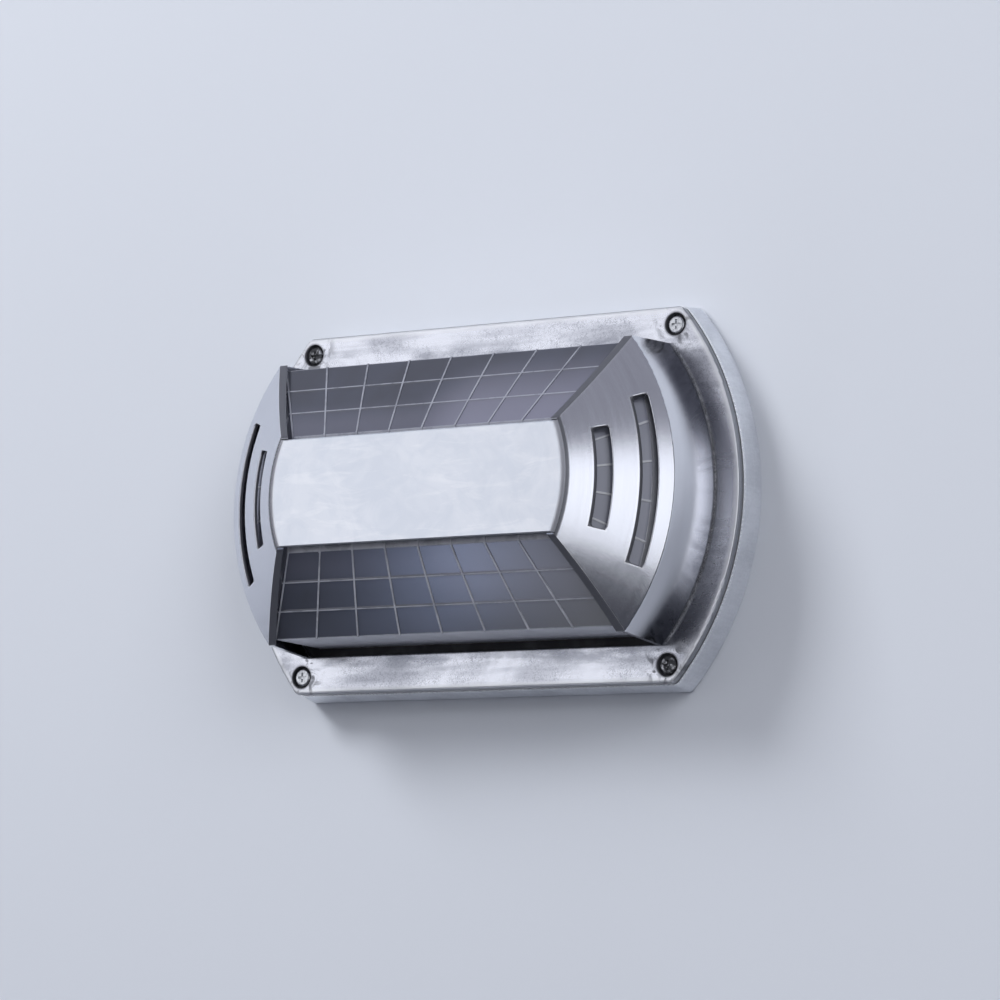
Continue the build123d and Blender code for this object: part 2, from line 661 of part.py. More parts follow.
def earth_tag():
    """Ring tag with a crimped barrel, on the earth pad."""
    ring = disc(TAG_R, PAD_TOP, PAD_TOP + SHELL_T)
    heel = -TAG_REACH - BARREL_LENGTH / 2
    tongue = Pos(heel / 2, 0, PAD_TOP) * Box(-heel, TAG_R, SHELL_T, align=LOW)
    axis = Pos(-TAG_REACH, 0, BARREL_H) * Rot(0, 90, 0)
    barrel = axis * Cylinder(LEAD_R + SHELL_T + SEAT_GAP, BARREL_LENGTH)
    bore = axis * Cylinder(LEAD_R + SEAT_GAP, BARREL_LENGTH)
    hole = disc(SCREW_R + SEAT_GAP, PAD_TOP, PAD_TOP + SHELL_T)
    return Pos(EARTH_X) * (ring + tongue + barrel - bore - hole)


def earth_screw():
    """Earth screw on its floor pad."""
    screw = pan_screw(SCREW_R, SHELL_T + PAD_RISE, TAG_R, SCREW_HEAD_H)
    return Pos(EARTH_X, 0, PAD_TOP + SHELL_T) * screw


def lead(points):
    """Insulated lead along straight runs and tangent bends."""
    path = FilletPolyline(*points, radius=LEAD_BEND)
    return sweep(Plane(path @ 0, z_dir=path % 0) * Circle(LEAD_R), path)


def holder_lead(side):
    """Lead from a port of the holder, along the floor, into the terminal block."""
    x = HOLDER_BACK_X - LEAD_PORT_BACK
    y = HOLDER_R + LEAD_OUT
    turn = BLOCK_X + BLOCK_HALF_X + 2 * LEAD_BEND
    points = [(x, HOLDER_R - 3 * LEAD_R, LAMP_H), (x, y, LAMP_H), (x, y, POLE_H), (turn, y, POLE_H)]
    points += [(turn, POLE_PITCH, POLE_H), (LEAD_END_X, POLE_PITCH, POLE_H)]
    return lead([(px, side * py, ph) for px, py, ph in points])


def earth_lead():
    """Lead from the middle pole to the earth tag."""
    end = EARTH_X - TAG_REACH
    bend = end - BARREL_LENGTH / 2 - LEAD_BEND
    points = [(LEAD_END_X, 0, POLE_H), (bend, 0, POLE_H), (bend + LEAD_BEND, 0, BARREL_H)]
    return lead(points + [(end, 0, BARREL_H)])


def save(name, shape):
    """Stand the piece up against the wall and write it out."""
    solids = shape if isinstance(shape, list) else [shape]
    upright = [UPRIGHT * solid for solid in solids]
    piece = Compound(children=upright) if len(upright) > 1 else upright[0]
    export_step(piece, "parts/" + name + ".step")


os.makedirs("parts", exist_ok=True)
for make in (back_box, box_gasket, cable_grommet, front_cover, glass_lens, glass_gasket, glass_clips,
             clip_screws, holder_bracket, bracket_screws, holder_body, holder_shell, holder_contact,
             holder_screws, lamp_globe, lamp_cap, lamp_insulator, lamp_contact, terminal_block,
             terminal_tubes, terminal_screws, block_screws, earth_tag, earth_screw, earth_lead):
    save(make.__name__, make())
for side_name, side in (("left", -1), ("right", 1)):
    for level_name, level in (("lower", -1), ("upper", 1)):
        save("cover_screw_" + level_name + "_" + side_name, cover_screw(side, level))
save("live_lead", holder_lead(1))
save("neutral_lead", holder_lead(-1))
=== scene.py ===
import logging
import math
from dataclasses import dataclass
from enum import Enum
from typing import Any, Dict, List, Optional, Sequence, Tuple, Union

import bpy
import numpy as np
from mathutils import Matrix, Vector


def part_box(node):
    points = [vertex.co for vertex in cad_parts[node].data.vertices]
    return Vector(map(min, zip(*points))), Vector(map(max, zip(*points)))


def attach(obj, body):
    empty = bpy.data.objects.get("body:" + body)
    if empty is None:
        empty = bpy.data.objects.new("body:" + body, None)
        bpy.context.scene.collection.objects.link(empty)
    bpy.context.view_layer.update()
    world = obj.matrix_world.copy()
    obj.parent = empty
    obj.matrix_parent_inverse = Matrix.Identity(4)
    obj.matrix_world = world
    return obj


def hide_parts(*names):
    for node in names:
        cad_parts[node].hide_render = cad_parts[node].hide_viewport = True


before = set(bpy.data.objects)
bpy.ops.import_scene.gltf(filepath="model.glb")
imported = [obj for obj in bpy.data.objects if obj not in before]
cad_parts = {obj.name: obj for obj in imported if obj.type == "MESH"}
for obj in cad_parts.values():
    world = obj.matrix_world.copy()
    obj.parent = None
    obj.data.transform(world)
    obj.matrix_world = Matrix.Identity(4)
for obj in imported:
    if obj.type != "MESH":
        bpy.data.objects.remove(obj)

log = logging.getLogger("wall_light")

Colour = Tuple[float, float, float]
Triple = Tuple[float, float, float]
Number = Union["Val", float, int]

MM_PER_M = 1000.0


class Val:
    """A shader value. Its operators and methods add Math nodes to the tree it belongs to."""

    def __init__(self, bench: "Tree", socket: bpy.types.NodeSocket) -> None:
        """Wrap one output socket of a node tree."""
        self.bench = bench
        self.socket = socket

    def maths(self, operation: str, *operands: Number) -> "Val":
        """Add one Math node.

        Args:
            operation: name of the Math node's operation.
            operands: values or numbers for its sockets, in order.

        Returns:
            The node's result.
        """
        node = self.bench.node("Math", {"operation": operation}, dict(enumerate(operands)))
        return Val(self.bench, node.outputs[0])

    def __add__(self, other: Number) -> "Val":
        """Sum."""
        return self.maths("ADD", self, other)

    def __radd__(self, other: Number) -> "Val":
        """Sum, number first."""
        return self.maths("ADD", other, self)

    def __sub__(self, other: Number) -> "Val":
        """Difference."""
        return self.maths("SUBTRACT", self, other)

    def __rsub__(self, other: Number) -> "Val":
        """Difference, number first."""
        return self.maths("SUBTRACT", other, self)

    def __mul__(self, other: Number) -> "Val":
        """Product."""
        return self.maths("MULTIPLY", self, other)

    def __rmul__(self, other: Number) -> "Val":
        """Product, number first."""
        return self.maths("MULTIPLY", other, self)

    def __truediv__(self, other: Number) -> "Val":
        """Quotient."""
        return self.maths("DIVIDE", self, other)

    def __rtruediv__(self, other: Number) -> "Val":
        """Quotient, number first."""
        return self.maths("DIVIDE", other, self)

    def size(self) -> "Val":
        """Value without its sign."""
        return self.maths("ABSOLUTE", self)

    def root(self) -> "Val":
        """Square root."""
        return self.maths("SQRT", self)

    def nearest(self) -> "Val":
        """Nearest whole number."""
        return self.maths("ROUND", self)

    def turn_to(self, other: Number) -> "Val":
        """Angle of the direction (other, self), in radians."""
        return self.maths("ARCTAN2", self, other)

    def least(self, other: Number) -> "Val":
        """Smaller of two values."""
        return self.maths("MINIMUM", self, other)

    def most(self, other: Number) -> "Val":
        """Larger of two values."""
        return self.maths("MAXIMUM", self, other)

    def rise(self, low: float, high: float) -> "Val":
        """Smooth step.

        Args:
            low: value at which the step is still 0.
            high: value at which it has reached 1.

        Returns:
            The step, eased at both ends.
        """
        sockets = {"Value": self, "From Min": low, "From Max": high, "To Min": 0.0, "To Max": 1.0}
        node = self.bench.node("MapRange", {"interpolation_type": "SMOOTHSTEP"}, sockets)
        return Val(self.bench, node.outputs[0])

    def fall(self, low: float, high: float) -> "Val":
        """Smooth step downwards, 1 below low and 0 above high."""
        return 1.0 - self.rise(low, high)


class Tree:
    """A node tree of a material or of the surroundings."""

    def __init__(self, tree: bpy.types.NodeTree) -> None:
        """Empty the tree."""
        self.tree = tree
        self.tree.nodes.clear()

    def node(self, kind: str, settings: Optional[Dict[str, Any]] = None,
             sockets: Optional[Dict[Any, Any]] = None) -> bpy.types.Node:
        """Add a node.

        Args:
            kind: node type without its ShaderNode prefix.
            settings: properties of the node, set before its sockets.
            sockets: values or links for its inputs, by name or number.

        Returns:
            The new node.
        """
        made = self.tree.nodes.new("ShaderNode" + kind)
        for key, value in (settings or {}).items():
            setattr(made, key, value)
        for key, value in (sockets or {}).items():
            target = made.inputs[key]
            if isinstance(value, Val):
                self.tree.links.new(value.socket, target)
            elif isinstance(value, bpy.types.NodeSocket):
                self.tree.links.new(value, target)
            elif isinstance(value, tuple) and len(value) == 3 and target.type == "RGBA":
                target.default_value = (*value, 1.0)
            else:
                target.default_value = value
        return made

    def blend(self, share: Number, first: Any, second: Any) -> bpy.types.NodeSocket:
        """Mix two colours.

        Args:
            share: how much of the second shows.
            first: colour or colour socket.
            second: colour or colour socket.

        Returns:
            The mixed colour.
        """
        return self.node("Mix", {"data_type": "RGBA"}, {0: share, 6: first, 7: second}).outputs[2]


class Bench(Tree):
    """A material in the making: its node tree, and the nodes that finishes are mixed from."""

    def __init__(self, name: str) -> None:
        """Start an empty material of that name."""
        self.material = bpy.data.materials.new(name)
        self.material.use_nodes = True
        super().__init__(self.material.node_tree)
        scaled = {0: self.node("TexCoord").outputs["Object"], "Scale": MM_PER_M}
        self.spot = self.node("VectorMath", {"operation": "SCALE"}, scaled).outputs[0]

    def place(self) -> Tuple[Val, Val, Val]:
        """Place on the object in millimetres.

        Returns:
            Length from the middle, depth out from the wall, height over the middle.
        """
        split = self.node("SeparateXYZ", None, {0: self.spot})
        x, y, z = (Val(self, socket) for socket in split.outputs)
        return x, 0.0 - y, z

    def point(self, x: Number, y: Number, z: Number) -> bpy.types.NodeSocket:
        """Vector from three values."""
        return self.node("CombineXYZ", None, {0: x, 1: y, 2: z}).outputs[0]

    def noise(self, scale: float, detail: float = 3.0, rough: float = 0.55, warp: float = 0.0,
              at: Optional[bpy.types.NodeSocket] = None) -> Val:
        """Cloudy noise.

        Args:
            scale: features per millimetre, or per unit of the vector given.
            detail: octaves.
            rough: weight of the finer octaves.
            warp: distortion.
            at: vector to read it at, the place in millimetres if none is given.

        Returns:
            Values around 0.5.
        """
        sockets = {"Vector": at or self.spot, "Scale": scale, "Detail": detail, "Roughness": rough,
                   "Distortion": warp}
        return Val(self, self.node("TexNoise", None, sockets).outputs[0])

    def pits(self, scale: float) -> Val:
        """Distance to the nearest of many scattered points, for pores in a casting."""
        sockets = {"Vector": self.spot, "Scale": scale, "Randomness": 1.0}
        return Val(self, self.node("TexVoronoi", None, sockets).outputs["Distance"])

    def relief(self, height: Val, depth_mm: float, strength: float = 1.0) -> bpy.types.NodeSocket:
        """Bump from a height of 0 to 1.

        Args:
            height: relief as a share of the depth.
            depth_mm: depth of the relief in millimetres.
            strength: share of the bump that is used.

        Returns:
            The bumped normal.
        """
        sockets = {"Height": height, "Distance": depth_mm / MM_PER_M, "Strength": strength}
        return self.node("Bump", None, sockets).outputs[0]

    def surface(self, **sockets: Any) -> bpy.types.Material:
        """Finish the material with a Principled surface.

        Args:
            sockets: inputs of the surface, their names with _ in place of blanks.

        Returns:
            The finished material.
        """
        named = {key.replace("_", " "): value for key, value in sockets.items()}
        if "Specular IOR Level" not in named and "IOR" not in named:
            named["IOR"] = 1.5
        shader = self.node("BsdfPrincipled", None, named)
        self.node("OutputMaterial", None, {"Surface": shader.outputs[0]})
        return self.material


@dataclass(frozen=True)
class CoverSizes:
    """Sizes of the cover casting that its finish follows, in millimetres and degrees."""

    end_r: float = 128.5
    half_height: float = 83.0
    ridge: float = 49.5
    bar_face: float = 76.5
    bar_half: float = 24.1
    cap_centre: float = 12.0
    hood_r: float = 104.8
    bar_r: float = 63.3
    opening_half: float = 66.0
    ridge_half: float = 64.1
    screw_x: float = 95.2
    screw_z: float = 75.0
    slot_half: float = 3.0
    outer_slot_r: float = 105.2
    outer_slot_spread: float = 20.3
    inner_slot_r: float = 89.2
    inner_slot_spread: float = 14.1


class CoverPlace:
    """Where a point of the cover lies, and the noises that its marks share.

    end and side are x and z without their signs. foot and turn are distance and angle about the
    centre of a cap, reach and spread those about the middle of the light. inward is the distance in
    from the outline of the flange, bore the distance to the nearest screw. flange, bar and cone are 1
    on those faces.
    """

    def __init__(self, bench: Bench, s: CoverSizes) -> None:
        """Work out every measure once.

        Args:
            bench: material in the making.
            s: sizes of the casting.
        """
        self.bench = bench
        self.x, self.h, self.z = x, h, z = bench.place()
        self.end, self.side = end, side = x.size(), z.size()
        over = end - s.cap_centre
        self.foot = (over * over + z * z).root()
        self.turn = z.turn_to(over)
        self.reach = (x * x + z * z).root()
        self.spread = z.turn_to(end)
        self.inward = (s.end_r - self.reach).least(s.half_height - side)
        bore = (end - s.screw_x) * (end - s.screw_x) + (side - s.screw_z) * (side - s.screw_z)
        self.bore = bore.root()
        self.flange = h.fall(17.9, 19.2)
        self.bar = h.rise(75.7, 76.2)
        self.cone = h.rise(48.8, 50.2) * (1.0 - self.bar)
        self.cloud = bench.noise(0.024, 3.0, 0.55, 0.6)
        self.fine = bench.noise(0.55, 4.0, 0.65)
        self.grit = bench.noise(2.2, 2.0, 0.6)
        brushed = bench.point(self.foot * 0.55, self.turn * 1.6, h * 0.12)
        self.around = bench.noise(1.0, 3.0, 0.55, 0.1, brushed)
        streak = bench.noise(1.0, 3.0, 0.55, 0.3, bench.point(x * 0.022, 3.1, z * 0.22))
        self.rubbed = (self.cloud * 0.50 + streak * 0.42 + self.fine * 0.08).rise(0.30, 0.58)


@dataclass(frozen=True)
class CoverEdges:
    """Masks of the cover's edges, each 1 where the edge is and 0 away from it. The worn mask and the masks
    of the bar's rim and the flange's matt rim carry painted highlights; the crease, flank and brink masks
    carry painted shade.
    """

    slot_wall: Val
    cut: Val
    edge: Val
    worn: Val
    crease_shade: Val
    rim_highlight: Val
    flank_shade: Val
    brink_shade: Val
    rim_matt_highlight: Val


@dataclass(frozen=True)
class CastCover:
    """Cast aluminium, rubbed bright on the raised faces, with painted shade in its corners, crease and
    recesses and on the cut faces, grime near the screws, and painted highlights along the edges.
    """

    sizes: CoverSizes = CoverSizes()
    bright: Colour = (0.77, 0.78, 0.83)
    dull: Colour = (0.50, 0.51, 0.56)
    wall_bright: Colour = (0.89, 0.90, 0.94)
    wall_dull: Colour = (0.60, 0.61, 0.66)
    cone_bright: Colour = (0.83, 0.845, 0.90)
    cone_dull: Colour = (0.51, 0.525, 0.58)
    bar_bright: Colour = (0.81, 0.825, 0.86)
    bar_dull: Colour = (0.69, 0.72, 0.775)
    bare_highlight: Colour = (0.93, 0.94, 0.96)
    wall_shade: Colour = (0.13, 0.14, 0.17)
    crease_shade: Colour = (0.06, 0.062, 0.075)
    flank_shade: Colour = (0.14, 0.145, 0.17)
    speckle: Colour = (0.27, 0.28, 0.32)
    smear: Colour = (0.24, 0.25, 0.29)
    cut_shade: Colour = (0.095, 0.098, 0.115)
    near_black: Colour = (0.035, 0.036, 0.042)

    def to_slot(self, at: CoverPlace, radius: float, spread: float) -> Val:
        """Distance to one curved slot, the larger of the distance across it and the distance past its end.

        Args:
            at: place on the cover.
            radius: radius of the slot's middle line.
            spread: half angle of the slot in degrees.

        Returns:
            Millimetres, 0 on the walls of the slot.
        """
        across = (at.reach - radius).size() - self.sizes.slot_half
        past = (at.spread.size() - math.radians(spread)) * radius
        return across.most(past)

    def edges(self, at: CoverPlace) -> CoverEdges:
        """Edges that get painted highlights or painted shade.

        Args:
            at: place on the cover.

        Returns:
            Masks of the slots, the cut faces of the caps, the bar and the flange's outline.
        """
        s = self.sizes
        slot = self.to_slot(at, s.outer_slot_r, s.outer_slot_spread)
        slot = slot.least(self.to_slot(at, s.inner_slot_r, s.inner_slot_spread))
        on_hood = at.h.rise(40.0, 46.0)
        slot_wall = slot.fall(0.06, 0.30) * on_hood
        # Pale lips round the slots, pale hips beside the cut faces and a pale band along the flange's
        # outline are painted highlights on rounded edges.
        lip = slot.fall(0.4, 1.0) * on_hood * (1.0 - slot_wall) * 0.5
        slope = (s.ridge_half - s.bar_half) / (s.bar_face - s.ridge)
        within = s.bar_half + (s.bar_face - at.h) * slope - at.side
        on_cap = at.h.rise(48.0, 50.0) * at.h.fall(75.4, 76.0)
        # The cut faces of the caps are painted dark as shade.
        cut = within.fall(0.06, 0.20) * on_cap
        hip = within.fall(0.4, 1.2) * on_cap * (1.0 - cut) * 0.45
        edge = at.inward.fall(1.2, 3.6) * at.flange
        # The flange's side and its outermost brink are painted dark as shade.
        flank_shade = at.h.fall(16.1, 16.7)
        brink_shade = at.inward.fall(0.30, 0.75) * at.flange
        # The crease where the bar meets the cones is painted dark as shade.
        return CoverEdges(
            slot_wall=slot_wall, cut=cut, edge=edge, worn=lip.most(hip).most(edge),
            crease_shade=at.h.rise(74.8, 75.3) * at.h.fall(75.8, 76.1),
            rim_highlight=(at.foot - s.bar_r).size().fall(0.6, 1.8) * at.bar,
            flank_shade=flank_shade, brink_shade=brink_shade,
            rim_matt_highlight=at.inward.fall(0.8, 2.6) * at.flange * (1.0 - flank_shade.most(brink_shade)))

    def painted_wall_shade(self, at: CoverPlace) -> Val:
        """Painted shade on the end walls, deepest near the foot and towards the corners, and on the flange
        beside them.
        """
        s = self.sizes
        end_wall = at.h.rise(17.8, 18.6) * at.h.fall(46.5, 48.5)
        end_wall = end_wall * at.foot.rise(s.hood_r - 6.0, s.hood_r - 4.5)
        corners = at.h.fall(30.0, 45.0) * (at.turn + 0.10).size().rise(0.10, 0.48)
        wall_shade = end_wall * corners.most(at.h.fall(21.0, 36.0) * 0.45)
        beside = (at.foot - s.hood_r).fall(0.6, 7.0) * at.foot.rise(s.hood_r, s.hood_r + 0.4)
        return wall_shade.most(beside * at.side.fall(24.0, 54.0) * at.flange * 0.6)

    def smeared(self, at: CoverPlace) -> Val:
        """Smudges on the flange along the window."""
        s = self.sizes
        drawn = at.bench.point(at.x * 0.034, 9.1, at.z * 0.12)
        smear = at.bench.noise(1.0, 5.0, 0.60, 0.15, drawn).rise(0.44, 0.68)
        smear = smear * (at.side - s.opening_half).fall(2.0, 13.0)
        smear = smear * at.side.rise(s.opening_half - 0.5, s.opening_half)
        return smear * at.end.fall(102.0, 110.0) * at.flange

    def speckled(self, at: CoverPlace, edge: Val) -> Val:
        """Fine dark specks on the flange, off its edge."""
        specks = (at.fine * 0.45 + at.grit * 0.55).rise(0.47, 0.60)
        return specks * (1.0 - at.cloud.rise(0.42, 0.60)) * at.flange * (1.0 - edge)

    def grime_and_shade(self, at: CoverPlace, slot_wall: Val) -> Val:
        """Dark at the foot of the hood and round the window, made patchy, in the screws' counterbores and on
        the slot walls, as painted shade; grime patches near the screws; a little darker below 14.9 mm out
        from the wall.
        """
        s = self.sizes
        at_foot = (at.foot - s.hood_r).size().fall(0.3, 1.7) * at.side.fall(64.5, 66.5)
        at_window = (at.side - s.opening_half).size().fall(0.1, 0.9) * at.end.fall(90.0, 98.0)
        tail = (at.bore - 5.0).fall(0.0, 9.0) * at.bench.noise(0.16, 3.0, 0.6, 1.0).rise(0.50, 0.64)
        broken = (at.fine * 0.5 + at.grit * 0.5).rise(0.34, 0.58)
        grime_and_shade_mask = at_foot.most(at_window * 0.85) * (0.45 + broken * 0.55)
        grime_and_shade_mask = grime_and_shade_mask.most(at.bore.fall(4.6, 6.2)).most(tail * 0.75) * at.flange
        return grime_and_shade_mask.most(at.h.fall(14.2, 14.9) * 0.3).most(slot_wall * 0.9)

    def faces(self, at: CoverPlace, rim_highlight: Val) -> bpy.types.NodeSocket:
        """Colour of the clean metal on flange, walls, cones and bar, with a painted highlight on the bar's
        rim.

        Args:
            at: place on the cover.
            rim_highlight: mask of the painted highlight on the bar's rim.

        Returns:
            The colour.
        """
        bench = at.bench
        share = (0.62 + at.around * 0.45 + at.fine * 0.10 - 0.20).least(1.0)
        wall = bench.blend(share, self.wall_dull, self.wall_bright)
        cone = bench.blend(share, self.cone_dull, self.cone_bright)
        swirl = bench.noise(0.055, 4.0, 0.6, 1.8)
        along = bench.point(at.x * 0.035, 5.7, at.z * 0.15)
        wiped = bench.noise(1.0, 4.0, 0.62, 0.9, along).rise(0.50, 0.66)
        bar_share = (at.cloud * 0.4 + swirl * 0.6).rise(0.36, 0.62) * 0.55 + wiped * 0.45
        # The bar's rim is painted pale as a highlight.
        bar = bench.blend(rim_highlight * 0.8, bench.blend(bar_share, self.bar_dull, self.bar_bright), self.bare_highlight)
        flange = bench.blend(at.rubbed, self.dull, self.bright)
        tone = bench.blend(at.flange, bench.blend(at.cone, wall, cone), flange)
        return bench.blend(at.bar, tone, bar)

    def material(self) -> bpy.types.Material:
        """Node material of the cover."""
        bench = Bench("cast_cover")
        at = CoverPlace(bench, self.sizes)
        edges = self.edges(at)
        grime_and_shade_mask = self.grime_and_shade(at, edges.slot_wall)
        tone = self.faces(at, edges.rim_highlight)
        # Painted shade on the end walls, in the crease, on the flange's side and brink, in corners and
        # recesses and on the cut faces, and painted highlights along the edges, over specks, smudges and
        # grime.
        layers = (
            (self.painted_wall_shade(at) * 0.85, self.wall_shade),
            (edges.worn * 0.8, self.bare_highlight),
            (edges.crease_shade * 0.90, self.crease_shade),
            (edges.flank_shade.most(edges.brink_shade * 0.9) * 0.75, self.flank_shade),
            (self.speckled(at, edges.edge) * 0.55, self.speckle),
            (self.smeared(at) * 0.75, self.smear),
            (grime_and_shade_mask * 0.92, self.near_black),
            (edges.cut * 0.97, self.cut_shade),
        )
        for share, colour in layers:
            tone = bench.blend(share, tone, colour)
        matt = grime_and_shade_mask.most(edges.cut)
        roughness = 0.13 + at.around * 0.05 + at.cone * 0.09 + at.flange * (0.20 - at.rubbed * 0.10)
        roughness = roughness + at.bar * 0.15 + edges.edge * 0.08 + matt * 0.25
        pores = bench.pits(0.75).rise(0.05, 0.35)
        height = at.fine * 0.30 + at.grit * 0.18 * (1.0 - at.bar * 0.7) + pores * 0.10 * at.flange
        height = height + at.around * 0.03
        normal = bench.relief(height * (1.0 - edges.worn * 0.8), 0.10, 0.40)
        # Less metal on the flange's rim lets its pale colour show as a painted highlight.
        metallic = 1.0 - matt.most(edges.crease_shade * 0.8) * 0.75 - edges.rim_matt_highlight * 0.45
        return bench.surface(Base_Color=tone, Metallic=metallic, Roughness=roughness, Normal=normal)


@dataclass(frozen=True)
class CastBox:
    """Cast aluminium as it left the mould, satin, with a fine grain and handling marks, and a painted
    highlight along its front rim.
    """

    pale: Colour = (0.88, 0.90, 0.94)
    dark: Colour = (0.70, 0.72, 0.76)
    bare_highlight: Colour = (0.93, 0.94, 0.96)

    def material(self) -> bpy.types.Material:
        """Node material of the back box."""
        bench = Bench("cast_box")
        x, h, z = bench.place()
        cloud = bench.noise(0.040, 4.0, 0.6, 0.5)
        grain = bench.noise(0.9, 3.0, 0.6)
        drawn = bench.noise(1.0, 3.0, 0.55, 0.2, bench.point(x * 0.9, h * 0.06, z * 0.9))
        inside = h.rise(2.6, 3.1) * h.fall(13.4, 13.7)
        share = (cloud * 0.6 + drawn * 0.2 + grain * 0.2).rise(0.32, 0.66)
        tone = bench.blend(share, self.dark, self.pale)
        # The front rim is painted pale as a highlight.
        box_rim_highlight = h.rise(11.6, 12.6)
        tone = bench.blend(box_rim_highlight * 0.8, tone, self.bare_highlight)
        roughness = 0.34 + grain * 0.08 + inside * 0.02 + cloud * 0.06 - box_rim_highlight * 0.16
        height = grain * 0.45 + bench.pits(0.8).rise(0.05, 0.4) * 0.35 + drawn * 0.20
        normal = bench.relief(height, 0.10, 0.40)
        return bench.surface(Base_Color=tone, Metallic=0.78, Roughness=roughness, Normal=normal)


@dataclass(frozen=True)
class LensSizes:
    """Sizes of the lens that its drawn grid follows, in millimetres."""

    eave: float = 49.0
    top: float = 71.5
    half: float = 61.5
    top_half: float = 26.0
    corner: float = 88.5
    top_corner: float = 68.0
    side_columns: int = 8
    end_columns: int = 7
    rows: int = 3


@dataclass(frozen=True)
class LensGlass:
    """Smoky pressed glass with a satin face, the raised grid rubbed pale.

    The glow of the lamp and its holder close behind the glass is painted in, with a painted sheen towards
    the top and painted light on the ends and on the lower grid lines.
    """

    sizes: LensSizes = LensSizes()
    smoke: Colour = (0.066, 0.069, 0.085)
    haze: Colour = (0.074, 0.079, 0.102)
    # Painted light: the paler tone is the glow of the lamp behind the glass, the lit tones light on the
    # ends, the lighter line tone light on the lower grid lines.
    paler_tone: Colour = (0.215, 0.215, 0.275)
    line: Colour = (0.30, 0.31, 0.355)
    lower_line_lit: Colour = (0.56, 0.57, 0.62)
    ground: Colour = (0.90, 0.91, 0.97)
    lit: Colour = (0.30, 0.31, 0.37)
    lit_line: Colour = (0.66, 0.67, 0.70)
    white_from: float = 30.0
    white_to: float = 70.0
    white_h: float = 35.6

    def grid(self, x: Val, h: Val, z: Val) -> Tuple[Val, Val]:
        """The raised grid of the lens.

        On the long slopes a line runs where x, as a share of the slope's half length at that depth, is
        a whole number of columns. On the ends the same holds for z. The rows are whole thirds of the
        way from the eave to the top.

        Args:
            x: length from the middle.
            h: depth out from the wall.
            z: height over the middle.

        Returns:
            1 on a line and 0 between lines, then 1 on the curved ends and 0 elsewhere.
        """
        s = self.sizes
        up = ((h - s.eave) / (s.top - s.eave)).most(0.0).least(1.0)
        half = s.half + up * (s.top_half - s.half)
        corner = s.corner + up * (s.top_corner - s.corner)
        on_side = (z.size() - half).rise(-1.0, -0.5).most(h.rise(s.top - 0.7, s.top - 0.3))
        columns = x / corner * (s.side_columns / 2.0)
        to_column = (columns - columns.nearest()).size() * corner / (s.side_columns / 2.0)
        posts = z / half * (s.end_columns / 2.0) + 0.5
        to_post = (posts - posts.nearest()).size() * half / (s.end_columns / 2.0)
        slant = math.hypot(s.half - s.top_half, s.top - s.eave)
        levels = up * float(s.rows)
        to_row = (levels - levels.nearest()).size() * (slant / s.rows)
        line = to_column.fall(0.28, 0.62) * on_side
        line = line.most(to_post.fall(0.28, 0.62) * (1.0 - on_side))
        line = line.most(to_row.fall(0.18, 0.46) * 0.85) * h.rise(s.eave - 1.2, s.eave - 0.6)
        return line, (1.0 - on_side) * h.rise(s.eave, s.eave + 1.0)

    def nearness(self, x: Val, h: Val, z: Val) -> Val:
        """How close the white of the lamp and its holder lies behind the glass, for the painted glow.

        The distance is taken to the stretch of the lamp's axis between white_from and white_to.

        Args:
            x: length from the middle.
            h: depth out from the wall.
            z: height over the middle.

        Returns:
            1 close by, 0 far away.
        """
        middle = (self.white_from + self.white_to) / 2.0
        past = ((x - middle).size() - (self.white_to - self.white_from) / 2.0).most(0.0)
        deep = h - self.white_h
        return (past * past + deep * deep + z * z).root().fall(38.0, 64.0)

    def material(self) -> bpy.types.Material:
        """Node material of the lens."""
        bench = Bench("lens_glass")
        x, h, z = bench.place()
        cloud = bench.noise(0.035, 3.0, 0.5, 0.4)
        dust = bench.noise(0.7, 4.0, 0.65)
        patchy = bench.noise(0.11, 3.0, 0.6)
        line, at_end = self.grid(x, h, z)
        line = line * (0.62 + patchy.rise(0.35, 0.6) * 0.38)
        tone = bench.blend(cloud.rise(0.35, 0.65) * 0.7 + dust * 0.3, self.smoke, self.haze)
        skirt = h.fall(self.sizes.eave - 0.7, self.sizes.eave - 0.1)
        # Painted sheen towards the top of the lens.
        top_sheen = h.rise(60.0, 69.0) * 0.28
        below = z.fall(-6.0, 6.0)
        # Painted glow of the lamp behind the glass, weaker on the lower half.
        tone = bench.blend((self.nearness(x, h, z) * (1.0 - below * 0.28)).most(top_sheen), tone, self.paler_tone)
        # The ends are painted lighter as light from within.
        tone = bench.blend(at_end, tone, self.lit)
        # Grid lines on the lower half are painted lighter as light from below.
        drawn = bench.blend(at_end, bench.blend(below, self.line, self.lower_line_lit), self.lit_line)
        tone = bench.blend(line, tone, drawn)
        tone = bench.blend(skirt * (0.75 + patchy * 0.3).least(1.0), tone, self.ground)
        roughness = 0.11 + dust * 0.05 + cloud * 0.03 + line * 0.20 + skirt * 0.30
        normal = bench.relief(line * 0.6 + cloud * 0.25 + dust * 0.15, 0.10, 0.35)
        return bench.surface(Base_Color=tone, Metallic=0.0, Roughness=roughness, IOR=1.5, Normal=normal)


@dataclass(frozen=True)
class SealRubber:
    """Moulded black rubber with a faint bloom."""

    black: Colour = (0.016, 0.016, 0.018)
    bloom: Colour = (0.055, 0.055, 0.058)

    def material(self) -> bpy.types.Material:
        """Node material of seals and grommet."""
        bench = Bench("seal_rubber")
        bloom = bench.noise(0.09, 4.0, 0.6, 0.5).rise(0.42, 0.70)
        skin = bench.noise(1.6, 3.0, 0.6)
        tone = bench.blend(bloom * 0.8 + skin * 0.15, self.black, self.bloom)
        normal = bench.relief(skin, 0.06, 0.5)
        return bench.surface(Base_Color=tone, Metallic=0.0, Roughness=0.58 + skin * 0.2, Normal=normal)


